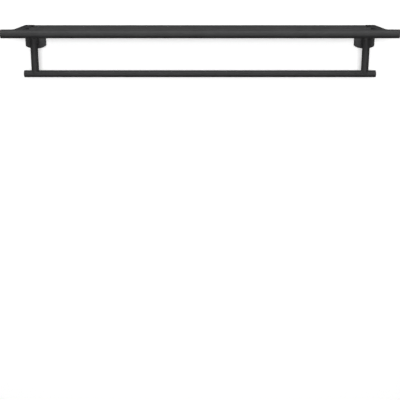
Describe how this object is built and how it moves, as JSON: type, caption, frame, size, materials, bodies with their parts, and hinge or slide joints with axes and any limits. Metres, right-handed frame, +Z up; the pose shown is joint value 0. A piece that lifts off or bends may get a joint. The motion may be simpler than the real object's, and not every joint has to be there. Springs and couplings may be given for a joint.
{
  "type": "wall towel shelf",
  "caption": "Wall-mounted black metal towel shelf: a bar shelf with a wide round front rail over a round towel rail, on bracket arms with bowed wall covers.",
  "frame": {"origin": "on the wall plane, midway between the two brackets, on the row of wall screws", "axes": "+Z up; +Y into the wall, so the front faces -Y; +X to the right of a person facing the wall"},
  "size_m": [0.862, 0.1485, 0.1175],
  "materials": {
    "black_powder_coat": "satin black powder coat with a fine texture",
    "black_plastic": "moulded satin black plastic",
    "blackened_steel": "black oxide screws",
    "zinc_plated_steel": "bright zinc plate"
  },
  "bodies": {
    "root": {"arm_left": "black_powder_coat", "arm_right": "black_powder_coat", "arm_screws": "blackened_steel", "back_rod": "black_powder_coat", "foot_dowels": "zinc_plated_steel", "front_rail": "black_powder_coat", "front_rail_plug_left": "black_plastic", "front_rail_plug_right": "black_plastic", "head_plate_left": "black_powder_coat", "head_plate_right": "black_powder_coat", "middle_rod": "black_powder_coat", "peg_bolts": "zinc_plated_steel", "peg_left": "black_powder_coat", "peg_right": "black_powder_coat", "rail_dowels": "zinc_plated_steel", "rod_inserts": "zinc_plated_steel", "rod_screws": "blackened_steel", "rose_grub_screws": "blackened_steel", "rose_left": "black_powder_coat", "rose_right": "black_powder_coat", "shelf_screws": "blackened_steel", "side_bar_left": "black_powder_coat", "side_bar_right": "black_powder_coat", "towel_rail": "black_powder_coat", "towel_rail_plug_left": "black_plastic", "towel_rail_plug_right": "black_plastic", "wall_plate_left": "zinc_plated_steel", "wall_plate_right": "zinc_plated_steel"}
  },
  "joints": []
}
